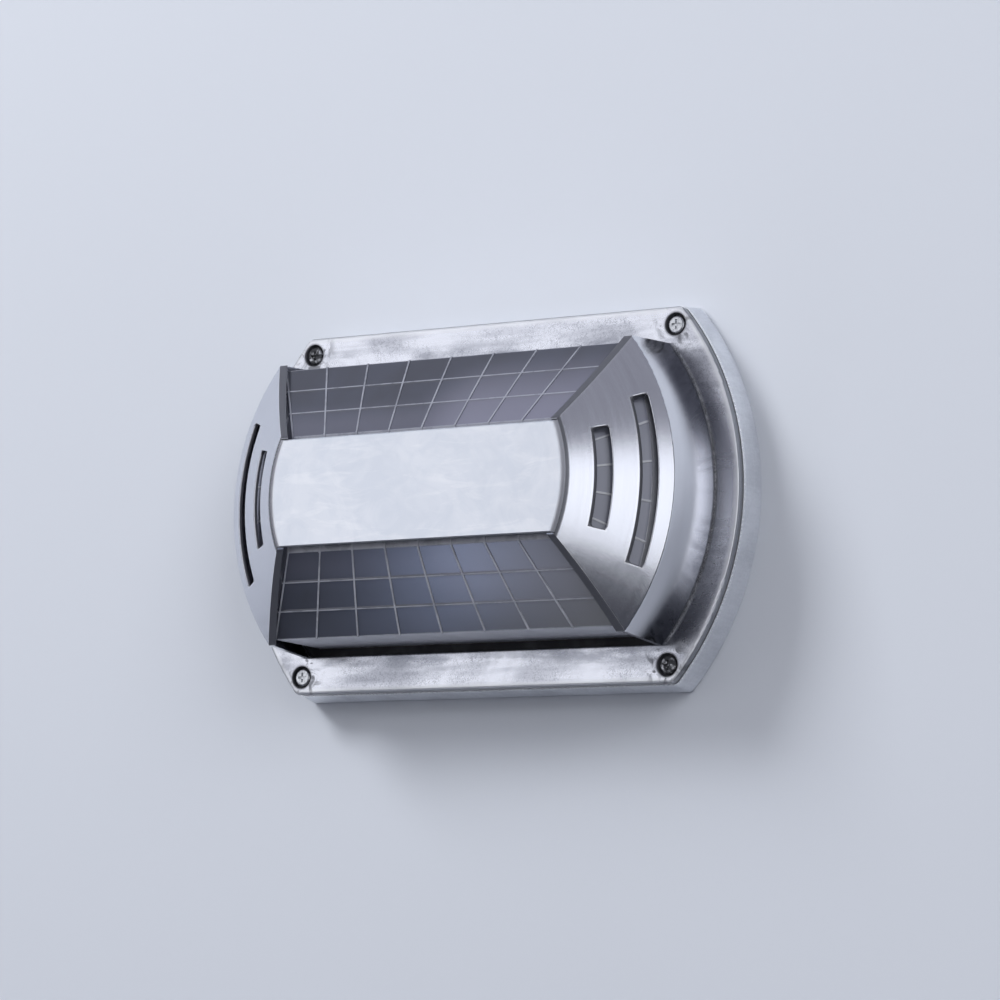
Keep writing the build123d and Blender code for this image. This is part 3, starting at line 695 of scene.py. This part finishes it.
@dataclass(frozen=True)
class PlatedSteel:
    """Zinc plated sheet with a faint spangle and rolling marks."""

    pale: Colour = (0.78, 0.78, 0.76)
    dark: Colour = (0.56, 0.57, 0.58)

    def material(self) -> bpy.types.Material:
        """Node material of clips and bracket."""
        bench = Bench("plated_steel")
        x, h, z = bench.place()
        spangle = bench.pits(0.22)
        rolled = bench.noise(1.0, 3.0, 0.6, 0.0, bench.point(x * 0.05, h * 1.2, z * 1.2))
        stain = bench.noise(0.12, 4.0, 0.6, 0.6)
        tone = bench.blend((spangle * 0.5 + rolled * 0.3 + stain * 0.35).least(1.0), self.dark, self.pale)
        roughness = 0.26 + rolled * 0.12 + stain * 0.06
        normal = bench.relief(rolled * 0.7 + spangle * 0.3, 0.03, 0.5)
        return bench.surface(Base_Color=tone, Metallic=1.0, Roughness=roughness, Normal=normal)


class Soil(Enum):
    """How much residue a screw has kept in its recess."""

    CLEAN = 0.15
    SOME = 0.45
    CLOGGED = 0.95


@dataclass(frozen=True)
class ScrewSteel:
    """Bright steel screw, turned marks on the head, residue in the recess."""

    soil: Soil = Soil.SOME
    bright: Colour = (0.72, 0.73, 0.75)
    worn: Colour = (0.42, 0.43, 0.45)
    near_black: Colour = (0.020, 0.020, 0.024)

    def material(self) -> bpy.types.Material:
        """Node material of one kind of screw."""
        bench = Bench("screw_steel_" + self.soil.name.lower())
        mark = bench.noise(0.8, 4.0, 0.65)
        fine = bench.noise(3.0, 2.0, 0.5)
        spared = 0.62 - 0.30 * self.soil.value
        share = bench.noise(0.35, 3.0, 0.6, 0.8).rise(spared, spared + 0.18)
        soil = share * (0.35 + 0.6 * self.soil.value)
        tone = bench.blend(mark.rise(0.35, 0.65), self.worn, self.bright)
        tone = bench.blend(soil, tone, self.near_black)
        roughness = 0.22 + mark * 0.12 + soil * 0.3
        normal = bench.relief(mark * 0.6 + fine * 0.4, 0.04, 0.5)
        return bench.surface(Base_Color=tone, Metallic=1.0 - soil * 0.5, Roughness=roughness, Normal=normal)


@dataclass(frozen=True)
class Porcelain:
    """Glazed porcelain, faintly uneven, with a few dark specks under the glaze."""

    white: Colour = (0.83, 0.81, 0.76)
    shade: Colour = (0.74, 0.72, 0.67)
    speck: Colour = (0.25, 0.19, 0.13)

    def material(self) -> bpy.types.Material:
        """Node material of the lamp holder."""
        bench = Bench("porcelain")
        cloud = bench.noise(0.06, 3.0, 0.5)
        speck = bench.pits(0.35).fall(0.05, 0.10) * bench.noise(0.2, 2.0, 0.5).rise(0.50, 0.60)
        ripple = bench.noise(0.18, 2.0, 0.5)
        tone = bench.blend(cloud.rise(0.35, 0.65), self.shade, self.white)
        tone = bench.blend(speck * 0.5, tone, self.speck)
        normal = bench.relief(ripple, 0.15, 0.35)
        return bench.surface(Base_Color=tone, Metallic=0.0, Roughness=0.16 + cloud * 0.10, Normal=normal)


@dataclass(frozen=True)
class Brass:
    """Pressed brass, a little tarnished away from the rubbed edges."""

    bright: Colour = (0.83, 0.63, 0.31)
    tarnish: Colour = (0.42, 0.29, 0.14)

    def material(self) -> bpy.types.Material:
        """Node material of shells, tongues, tubes and tags."""
        bench = Bench("brass")
        cloud = bench.noise(0.16, 4.0, 0.6, 0.7)
        fine = bench.noise(1.4, 3.0, 0.6)
        dull = (cloud * 0.75 + fine * 0.25).rise(0.46, 0.68)
        tone = bench.blend(dull * 0.75, self.bright, self.tarnish)
        normal = bench.relief(fine, 0.03, 0.5)
        return bench.surface(Base_Color=tone, Metallic=1.0, Roughness=0.20 + dull * 0.2 + fine * 0.05,
                             Normal=normal)


@dataclass(frozen=True)
class OpalGlass:
    """Milk-white lamp glass, smooth, with a slight cloud."""

    paler_tone: Colour = (0.88, 0.87, 0.84)
    cloud: Colour = (0.80, 0.79, 0.76)

    def material(self) -> bpy.types.Material:
        """Node material of the globe."""
        bench = Bench("lamp_glass")
        drift = bench.noise(0.05, 3.0, 0.5, 0.4)
        wave = bench.noise(0.10, 2.0, 0.5)
        tone = bench.blend(drift.rise(0.35, 0.65), self.cloud, self.paler_tone)
        normal = bench.relief(wave, 0.12, 0.25)
        return bench.surface(Base_Color=tone, Metallic=0.0, Roughness=0.10 + drift * 0.08, IOR=1.5,
                             Normal=normal)


@dataclass(frozen=True)
class CapMetal:
    """Rolled aluminium lamp cap, scuffed on the crests of its thread."""

    pale: Colour = (0.84, 0.84, 0.84)
    scuffed: Colour = (0.58, 0.58, 0.58)

    def material(self) -> bpy.types.Material:
        """Node material of the lamp cap."""
        bench = Bench("lamp_cap")
        scuff = bench.noise(0.35, 4.0, 0.65, 0.5)
        fine = bench.noise(1.8, 3.0, 0.6)
        tone = bench.blend(scuff.rise(0.40, 0.66), self.pale, self.scuffed)
        normal = bench.relief(fine * 0.6 + scuff * 0.4, 0.04, 0.5)
        return bench.surface(Base_Color=tone, Metallic=1.0, Roughness=0.20 + scuff * 0.18, Normal=normal)


@dataclass(frozen=True)
class Vitrite:
    """Black glassy insulator, moulded, with flow lines."""

    black: Colour = (0.018, 0.018, 0.022)
    flow: Colour = (0.060, 0.055, 0.060)

    def material(self) -> bpy.types.Material:
        """Node material of the lamp's insulator."""
        bench = Bench("insulator")
        flow = bench.noise(0.25, 3.0, 0.6, 1.2)
        tone = bench.blend(flow.rise(0.45, 0.7), self.black, self.flow)
        normal = bench.relief(flow, 0.08, 0.4)
        return bench.surface(Base_Color=tone, Metallic=0.0, Roughness=0.14 + flow * 0.14, Normal=normal)


@dataclass(frozen=True)
class BlockPlastic:
    """Natural white moulded plastic with a matt skin and handling grime."""

    white: Colour = (0.80, 0.79, 0.75)
    grime: Colour = (0.60, 0.57, 0.50)

    def material(self) -> bpy.types.Material:
        """Node material of the terminal block."""
        bench = Bench("block_plastic")
        grime = bench.noise(0.14, 4.0, 0.65, 0.5).rise(0.48, 0.74)
        skin = bench.noise(1.5, 2.0, 0.5)
        tone = bench.blend(grime * 0.7 + skin * 0.1, self.white, self.grime)
        normal = bench.relief(skin, 0.05, 0.4)
        return bench.surface(Base_Color=tone, Metallic=0.0, Roughness=0.40 + skin * 0.15, Normal=normal)


class LeadColour(Enum):
    """Insulation colours of the three leads: ground and stripe."""

    BROWN = ((0.16, 0.062, 0.028), (0.20, 0.085, 0.042))
    BLUE = ((0.030, 0.095, 0.36), (0.045, 0.13, 0.42))
    EARTH = ((0.045, 0.22, 0.055), (0.72, 0.58, 0.035))


@dataclass(frozen=True)
class LeadPlastic:
    """Soft insulation, two coloured along the lead where it is the earth."""

    colour: LeadColour = LeadColour.BROWN
    axis_z: float = 0.0

    def material(self) -> bpy.types.Material:
        """Node material of one lead."""
        bench = Bench("lead_" + self.colour.name.lower())
        _, _, z = bench.place()
        ground, stripe = self.colour.value
        skin = bench.noise(1.2, 3.0, 0.6)
        scuff = bench.noise(0.15, 3.0, 0.6, 0.5).rise(0.45, 0.72)
        share = (z - self.axis_z).rise(-0.12, 0.12) if self.colour is LeadColour.EARTH else scuff
        tone = bench.blend(share, ground, stripe)
        normal = bench.relief(skin, 0.04, 0.4)
        return bench.surface(Base_Color=tone, Metallic=0.0, Roughness=0.36 + skin * 0.12 + scuff * 0.1,
                             Normal=normal)


@dataclass
class Surface:
    """A surface on a grid of points that closes round on itself, made into a mesh object."""

    name: str
    grid: np.ndarray

    def faces(self) -> Tuple[np.ndarray, np.ndarray, np.ndarray]:
        """Points and faces of the grid.

        Row i holds one ring of points. Each ring joins the next by quads, and each end gets one
        point at the middle of its ring, joined to the ring by triangles.

        Returns:
            Points, quads and triangles, all facing outwards.
        """
        rows, columns, _ = self.grid.shape
        index = np.arange(rows * columns).reshape(rows, columns)
        onward = np.roll(index, -1, axis=1)
        quads = np.stack([index[:-1], onward[:-1], onward[1:], index[1:]], axis=-1).reshape(-1, 4)
        middle = np.stack([self.grid[0].mean(axis=0), self.grid[-1].mean(axis=0)])
        points = np.vstack([self.grid.reshape(-1, 3), middle])
        first, last = rows * columns, rows * columns + 1
        start = np.stack([onward[0], index[0], np.full(columns, first)], axis=-1)
        finish = np.stack([index[-1], onward[-1], np.full(columns, last)], axis=-1)
        triangles = np.vstack([start, finish])
        corners = np.vstack([quads[:, [0, 1, 2]], quads[:, [0, 2, 3]], triangles])
        a, b, c = (points[corners[:, k]] for k in range(3))
        if np.einsum("ij,ij->", a, np.cross(b, c)) < 0.0:
            quads, triangles = quads[:, ::-1], triangles[:, ::-1]
        return points, quads, triangles

    def build(self, material: bpy.types.Material) -> bpy.types.Object:
        """Make the object.

        Args:
            material: finish of the surface.

        Returns:
            The object, at the origin, its place in its mesh.
        """
        points, quads, triangles = self.faces()
        mesh = bpy.data.meshes.new(self.name)
        mesh.from_pydata((points / MM_PER_M).tolist(), [], quads.tolist() + triangles.tolist())
        mesh.polygons.foreach_set("use_smooth", np.ones(len(mesh.polygons), dtype=bool))
        mesh.materials.append(material)
        mesh.update()
        piece = bpy.data.objects.new(self.name, mesh)
        bpy.context.scene.collection.objects.link(piece)
        return piece


def dress(material: bpy.types.Material, *names: str) -> None:
    """Give CAD nodes a finish.

    Args:
        material: the finish.
        names: nodes that get it.
    """
    for name in names:
        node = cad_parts[name]
        if not node.material_slots:
            node.data.materials.append(material)
        for slot in node.material_slots:
            slot.material = material
        log.info("node %s: %s", name, material.name)


@dataclass(frozen=True)
class SoftLamp:
    """Rectangular soft lamp.

    It hangs at a place in metres and faces aim. size is its width and height in metres, power its watts,
    and glossy says whether it shows in reflections.
    """

    name: str
    at: Triple
    size: Tuple[float, float]
    power: float
    aim: Triple = (0.0, 0.0, 0.0)
    tint: Colour = (0.94, 0.96, 1.0)
    glossy: bool = True

    def build(self) -> bpy.types.Object:
        """Hang the lamp.

        Returns:
            The lamp.
        """
        light = bpy.data.lights.new(self.name, "AREA")
        light.shape = "RECTANGLE"
        light.size, light.size_y = self.size
        light.energy = self.power
        light.color = self.tint
        lamp = bpy.data.objects.new(self.name, light)
        bpy.context.scene.collection.objects.link(lamp)
        facing = (Vector(self.aim) - Vector(self.at)).to_track_quat("-Z", "Y")
        lamp.matrix_world = Matrix.Translation(self.at) @ facing.to_matrix().to_4x4()
        lamp.visible_camera = False
        lamp.visible_glossy = self.glossy
        return lamp


# Key and fill light the matt surfaces only. The metal mirrors the two boxes in front, the glass the two
# small lamps from below, and the last lamp reaches the back of the box.
LAMPS = (
    SoftLamp("key", (-1.6, -1.7, 1.9), (1.0, 1.0), 66.0, glossy=False),
    SoftLamp("fill", (2.0, -1.9, 1.4), (1.5, 1.5), 28.0, glossy=False),
    SoftLamp("box_left", (-1.10, -1.66, 0.28), (1.25, 1.1), 4.3),
    SoftLamp("box_right", (1.30, -1.50, 0.03), (1.0, 1.35), 5.3),
    SoftLamp("low", (-0.80, -0.816, -1.118), (0.08, 0.08), 0.21, (0.016, -0.067, -0.033), (0.50, 0.62, 1.0)),
    SoftLamp("floor", (-0.692, -0.791, -1.19), (0.12, 0.3), 0.25, (0.06, -0.055, -0.05)),
    SoftLamp("behind", (0.7, 1.9, 0.9), (1.5, 1.5), 60.0),
)


@dataclass
class Studio:
    """Pale wall behind the light, soft lamps in front of it, and the camera."""

    eye: Triple = (0.85783, -1.408105, -0.251633)
    azimuth: float = 31.424
    elevation: float = 8.835
    roll: float = 1.811
    focal_px: float = 3693.8
    wall_colour: Colour = (0.70, 0.725, 0.77)
    wall_half: float = 4.0
    wall_gap: float = 0.0006
    hole_r: float = 0.127
    hole_half: float = 0.082
    below: Colour = (0.045, 0.047, 0.060)
    above: Colour = (0.30, 0.305, 0.355)
    horizon: Tuple[float, float] = (-0.6, 0.8)
    wall_steps: int = 96
    image_px: float = 1000.0
    sensor_mm: float = 36.0
    far: float = 50.0
    lamps: Tuple[SoftLamp, ...] = LAMPS

    def wall(self) -> bpy.types.Object:
        """Wall with the footprint of the box left open, so that light from behind reaches the box's back.

        At an angle a the wall starts at the smaller of the footprint's end radius and its half height
        over |sin a|, and ends at half the wall's size over the larger of |cos a| and |sin a|.

        Returns:
            The wall.
        """
        angle = np.linspace(0.0, 2.0 * np.pi, self.wall_steps, endpoint=False)
        reach = np.maximum(np.abs(np.cos(angle)), np.abs(np.sin(angle)))
        inner = np.minimum(self.hole_r, self.hole_half / np.maximum(np.abs(np.sin(angle)), 1e-6))
        radius = np.stack([inner, self.wall_half / reach])
        gap = np.full_like(radius, self.wall_gap)
        points = np.stack([radius * np.cos(angle), gap, radius * np.sin(angle)], axis=-1).reshape(-1, 3)
        first = np.arange(angle.size)
        after = np.roll(first, -1)
        quads = np.stack([first, first + angle.size, after + angle.size, after], axis=-1)
        mesh = bpy.data.meshes.new("wall")
        mesh.from_pydata(points.tolist(), [], quads.tolist())
        mesh.materials.append(self.wall_paint())
        plane = bpy.data.objects.new("wall", mesh)
        bpy.context.scene.collection.objects.link(plane)
        return plane

    def wall_paint(self) -> bpy.types.Material:
        """Matt paint that lets rays from behind through."""
        bench = Bench("wall_paint")
        behind = bench.node("NewGeometry").outputs["Backfacing"]
        drift = bench.noise(0.004, 2.0, 0.5)
        tone = bench.blend(drift, tuple(0.98 * c for c in self.wall_colour), self.wall_colour)
        paint = bench.node("BsdfDiffuse", None, {"Color": tone})
        clear = bench.node("BsdfTransparent")
        mixed = bench.node("MixShader", None, {0: behind, 1: paint.outputs[0], 2: clear.outputs[0]})
        bench.node("OutputMaterial", None, {"Surface": mixed.outputs[0]})
        return bench.material

    def lights(self) -> None:
        """Hang the lamps."""
        for lamp in self.lamps:
            lamp.build()

    def world(self) -> None:
        """Grey surroundings, dark below and lighter above."""
        world = bpy.data.worlds.new("surroundings")
        world.use_nodes = True
        tree = Tree(world.node_tree)
        towards = tree.node("TexCoord").outputs["Generated"]
        upward = Val(tree, tree.node("SeparateXYZ", None, {0: towards}).outputs[2])
        sky = tree.blend(upward.rise(*self.horizon), self.below, self.above)
        shader = tree.node("Background", None, {"Color": sky, "Strength": 1.0})
        tree.node("OutputWorld", None, {"Surface": shader.outputs[0]})
        bpy.context.scene.world = world

    def camera(self) -> bpy.types.Object:
        """Camera at the photograph's viewing angle.

        It looks along (-sin az cos el, cos az cos el, sin el), turned about that line by the roll.

        Returns:
            The camera.
        """
        az, el, roll = (math.radians(a) for a in (self.azimuth, self.elevation, self.roll))
        forward = Vector((-math.sin(az) * math.cos(el), math.cos(az) * math.cos(el), math.sin(el)))
        level = Vector((math.cos(az), math.sin(az), 0.0))
        upright = level.cross(forward)
        right = level * math.cos(roll) + upright * math.sin(roll)
        up = upright * math.cos(roll) - level * math.sin(roll)
        data = bpy.data.cameras.new("camera")
        data.sensor_fit = "HORIZONTAL"
        data.sensor_width = self.sensor_mm
        data.lens = self.focal_px / self.image_px * self.sensor_mm
        data.clip_end = self.far
        camera = bpy.data.objects.new("camera", data)
        bpy.context.scene.collection.objects.link(camera)
        axes = Matrix((right, up, -forward)).transposed().to_4x4()
        camera.matrix_world = Matrix.Translation(self.eye) @ axes
        bpy.context.scene.camera = camera
        return camera

    def build(self) -> None:
        """Set the whole stage."""
        bpy.context.scene.view_settings.view_transform = "Standard"
        self.wall()
        self.lights()
        self.world()
        self.camera()


@dataclass
class Housing:
    """Back box on the wall, its seal and cable grommet."""

    box: CastBox = CastBox()
    rubber: SealRubber = SealRubber()

    def build(self) -> None:
        """Dress the box and its rubber parts."""
        dress(self.box.material(), "back_box")
        dress(self.rubber.material(), "box_gasket", "cable_grommet", "glass_gasket")


@dataclass
class Cover:
    """Cover casting with the lens that it carries."""

    casting: CastCover = CastCover()
    glass: LensGlass = LensGlass()
    steel: PlatedSteel = PlatedSteel()

    def build(self) -> None:
        """Dress the casting, the lens and its clips."""
        dress(self.casting.material(), "front_cover")
        dress(self.glass.material(), "glass_lens")
        dress(self.steel.material(), "glass_clips", "holder_bracket")


@dataclass
class CoverScrews:
    """Four cover screws, each with its cut thread."""

    root_r: float = 1.93
    crest_r: float = 2.17
    pitch: float = 0.7
    start: float = 2.4
    run: float = 9.6
    head_h: float = 2.0
    sharpness: float = 1.4
    sink: float = 0.06
    rings_per_turn: int = 10
    columns: int = 20

    def thread(self, x: float, z: float, seat: float) -> np.ndarray:
        """Thread of one screw as a grid of points.

        The radius at an angle a and a depth d under the head is the root plus the thread's height
        times a sharpened cosine of (d / pitch + a / turn), eased at both ends to a little under the root.

        Args:
            x: place of the screw along the light.
            z: place of the screw up the wall.
            seat: depth of the head's seat out from the wall.

        Returns:
            Points in millimetres, one ring after the other.
        """
        rings = int(self.run / self.pitch * self.rings_per_turn)
        depth = np.linspace(0.0, self.run, rings)[:, None]
        angle = np.linspace(0.0, 2.0 * np.pi, self.columns, endpoint=False)[None, :]
        wave = 0.5 + 0.5 * np.cos(2.0 * np.pi * depth / self.pitch + angle)
        ease = np.clip(np.minimum(depth, self.run - depth) / self.pitch, 0.0, 1.0)
        radius = self.root_r + (self.crest_r - self.root_r) * wave ** self.sharpness * ease
        radius = radius - self.sink * (1.0 - ease)
        out = np.broadcast_to(seat - self.start - depth, radius.shape)
        return np.stack([x + radius * np.cos(angle), -out, z + radius * np.sin(angle)], axis=-1)

    def build(self) -> None:
        """Dress the screws and cut their threads."""
        clean = ScrewSteel(Soil.CLEAN).material()
        clogged = ScrewSteel(Soil.CLOGGED).material()
        finishes = {"upper_right": clean, "lower_left": clean, "upper_left": clogged, "lower_right": clogged}
        for corner, finish in finishes.items():
            node = "cover_screw_" + corner
            low, high = (np.array(v) * MM_PER_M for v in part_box(node))
            middle = (low + high) / 2.0
            seat = -low[1] - self.head_h
            dress(finish, node)
            name = "screw_thread_" + corner
            piece = Surface(name, self.thread(middle[0], middle[2], seat)).build(finish)
            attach(piece, "screw_" + corner)
            log.info("piece %s rides on screw_%s", name, corner)


@dataclass
class Lamp:
    """Golf-ball lamp: opal globe, screw cap, insulator and centre contact."""

    axis_h: float = 35.6
    cap_start: float = 28.0
    cap_end: float = 46.0
    root_r: float = 12.2
    crest_r: float = 13.1
    pitch: float = 3.6
    plain: float = 0.8
    fade: float = 2.0
    rings: int = 120
    columns: int = 72

    def cap(self) -> np.ndarray:
        """Rolled thread of the cap as a grid of points.

        The radius at a place s along the cap and an angle a is the root plus half the thread's height
        times 1 + cos(s / pitch - a / turn), with the height eased to nothing at both ends.

        Returns:
            Points in millimetres, one ring after the other.
        """
        length = self.cap_end - self.cap_start
        along = np.linspace(0.0, length, self.rings)[:, None]
        angle = np.linspace(0.0, 2.0 * np.pi, self.columns, endpoint=False)[None, :]
        wave = 0.5 + 0.5 * np.cos(2.0 * np.pi * along / self.pitch - angle)
        ease = np.clip(np.minimum(along - self.plain, length - along) / self.fade, 0.0, 1.0)
        ease = ease * ease * (3.0 - 2.0 * ease)
        radius = self.root_r + (self.crest_r - self.root_r) * wave * ease
        x = np.broadcast_to(self.cap_start + along, radius.shape)
        return np.stack([x, -self.axis_h + radius * np.cos(angle), radius * np.sin(angle)], axis=-1)

    def build(self) -> None:
        """Dress the lamp and roll the thread of its cap."""
        metal = CapMetal().material()
        piece = Surface("cap_thread", self.cap()).build(metal)
        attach(piece, "lamp")
        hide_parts("lamp_cap")
        log.info("piece cap_thread rides on lamp")
        dress(OpalGlass().material(), "lamp_globe")
        dress(metal, "lamp_cap")
        dress(Vitrite().material(), "lamp_insulator")


@dataclass
class Fittings:
    """Lamp holder, terminal block, small screws and leads inside the box."""

    brass: Brass = Brass()

    def build(self) -> None:
        """Dress everything that the lens hides."""
        dress(Porcelain().material(), "holder_body")
        dress(self.brass.material(), "holder_shell", "holder_contact", "terminal_tubes", "earth_tag",
              "lamp_contact")
        dress(BlockPlastic().material(), "terminal_block")
        dress(ScrewSteel(Soil.SOME).material(), "clip_screws", "bracket_screws", "holder_screws",
              "terminal_screws", "block_screws", "earth_screw")
        dress(LeadPlastic(LeadColour.BROWN).material(), "live_lead")
        dress(LeadPlastic(LeadColour.BLUE).material(), "neutral_lead")
        dress(LeadPlastic(LeadColour.EARTH).material(), "earth_lead")


def main() -> None:
    """Build the stage and every sub-assembly in order."""
    logging.basicConfig(level=logging.INFO, format="%(message)s")
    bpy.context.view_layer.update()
    Studio().build()
    for assembly in (Housing(), Cover(), CoverScrews(), Lamp(), Fittings()):
        assembly.build()
        log.info("built %s", type(assembly).__name__)


if __name__ == "__main__":
    main()
